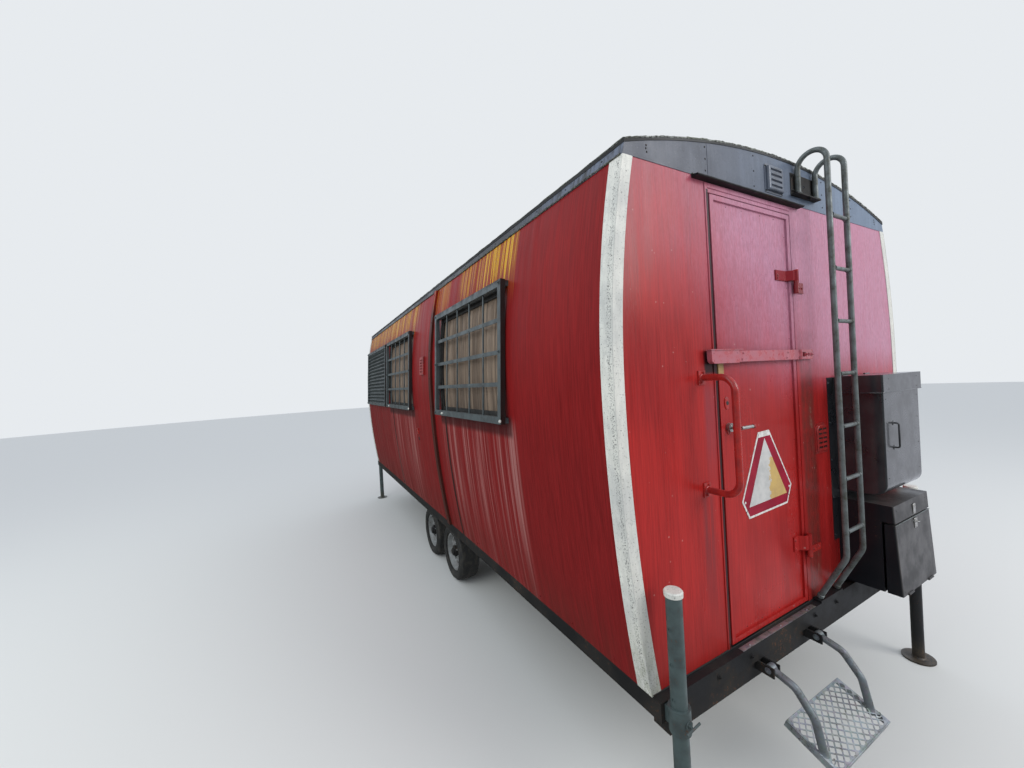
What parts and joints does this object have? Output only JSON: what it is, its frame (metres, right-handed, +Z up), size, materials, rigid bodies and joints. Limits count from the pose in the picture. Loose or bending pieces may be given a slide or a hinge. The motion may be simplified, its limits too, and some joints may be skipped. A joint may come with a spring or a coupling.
{
  "type": "towed personnel car",
  "caption": "Barrel-sided towed crew wagon on a low tandem chassis, with rear door, security bar, roof ladder, storage boxes, grilled windows and V drawbar.",
  "frame": {"origin": "on the ground below the middle of the car from step to tow eye", "axes": "+X to the right, +Y forward to the drawbar, +Z up"},
  "size_m": [2.6036, 7.6342, 2.9985],
  "materials": {
    "red_paint": "semi-gloss weathered red paint",
    "dark_band": "weathered blue-black sheet",
    "white_paint": "weathered white paint",
    "black_paint": "black paint with wear",
    "galvanised": "dull galvanised steel",
    "grille_paint": "blue-grey paint",
    "boards": "brown stained boards",
    "floor_wood": "worn plywood",
    "tyre": "worn rubber",
    "rim_paint": "silver-grey paint",
    "reflective": "reflective sheet",
    "steel": "bare steel"
  },
  "bodies": {
    "wagon": {"wall_left": "red_paint", "wall_right": "red_paint", "wall_rear": "red_paint", "wall_front": "red_paint", "roof": "dark_band", "roof_fascia": "dark_band", "corner_strips": "white_paint", "side_battens": "red_paint", "window_frames": "black_paint", "window_boards": "boards", "window_grilles_left": "grille_paint", "window_grilles_right": "grille_paint", "louvre_panel": "grille_paint", "vents": "dark_band", "door_frame": "red_paint", "hinge_mounts": "red_paint", "rain_rail": "dark_band", "grab_handle": "red_paint", "ladder_rails": "galvanised", "ladder_rungs": "galvanised", "ladder_brackets": "black_paint", "upper_box": "black_paint", "lower_box": "black_paint", "side_sills": "black_paint", "end_sills": "black_paint", "chassis_rails": "black_paint", "cross_members": "black_paint", "rear_beam": "black_paint", "floor": "floor_wood", "axle_front": "black_paint", "axle_rear": "black_paint", "drawbar": "black_paint", "tow_eye": "steel", "drawbar_jack": "galvanised", "support_legs": "grille_paint"},
    "door": {"rear_door": "red_paint", "security_bar": "red_paint", "door_lever": "steel", "warning_triangle": "reflective"},
    "upper_lid": {"upper_box_lid": "black_paint"},
    "lower_flap": {"lower_box_flap": "black_paint"},
    "step": {"entry_step": "galvanised"},
    "wheel_rear_left": {"tyre_rear_left": "tyre", "rim_rear_left": "rim_paint"},
    "wheel_rear_right": {"tyre_rear_right": "tyre", "rim_rear_right": "rim_paint"},
    "wheel_front_left": {"tyre_front_left": "tyre", "rim_front_left": "rim_paint"},
    "wheel_front_right": {"tyre_front_right": "tyre", "rim_front_right": "rim_paint"}
  },
  "joints": [
    {"name": "wheel_spin_rear_left", "type": "hinge", "parent": "wagon", "child": "wheel_rear_left", "pos_m": [-0.95, -0.86895, 0.263], "axis": [1, 0, 0], "continuous": true},
    {"name": "wheel_spin_rear_right", "type": "hinge", "parent": "wagon", "child": "wheel_rear_right", "pos_m": [0.95, -0.86895, 0.263], "axis": [1, 0, 0], "continuous": true},
    {"name": "wheel_spin_front_left", "type": "hinge", "parent": "wagon", "child": "wheel_front_left", "pos_m": [-0.95, -0.18895, 0.263], "axis": [1, 0, 0], "continuous": true},
    {"name": "wheel_spin_front_right", "type": "hinge", "parent": "wagon", "child": "wheel_front_right", "pos_m": [0.95, -0.18895, 0.263], "axis": [1, 0, 0], "continuous": true},
    {"name": "door_hinge", "type": "hinge", "parent": "wagon", "child": "door", "pos_m": [0.012, -3.49695, 1.932], "axis": [0, 0, 1], "range_deg": [0, 90]},
    {"name": "upper_lid_hinge", "type": "hinge", "parent": "wagon", "child": "upper_lid", "pos_m": [0.615, -3.49895, 1.828], "axis": [-1, 0, 0], "range_deg": [0, 90]},
    {"name": "lower_flap_hinge", "type": "hinge", "parent": "wagon", "child": "lower_flap", "pos_m": [0.6015, -3.74095, 0.689], "axis": [1, 0, 0], "range_deg": [0, 100]},
    {"name": "step_fold", "type": "hinge", "parent": "wagon", "child": "step", "pos_m": [-0.294, -3.56395, 0.566], "axis": [1, 0, 0], "range_deg": [0, 100]}
  ]
}
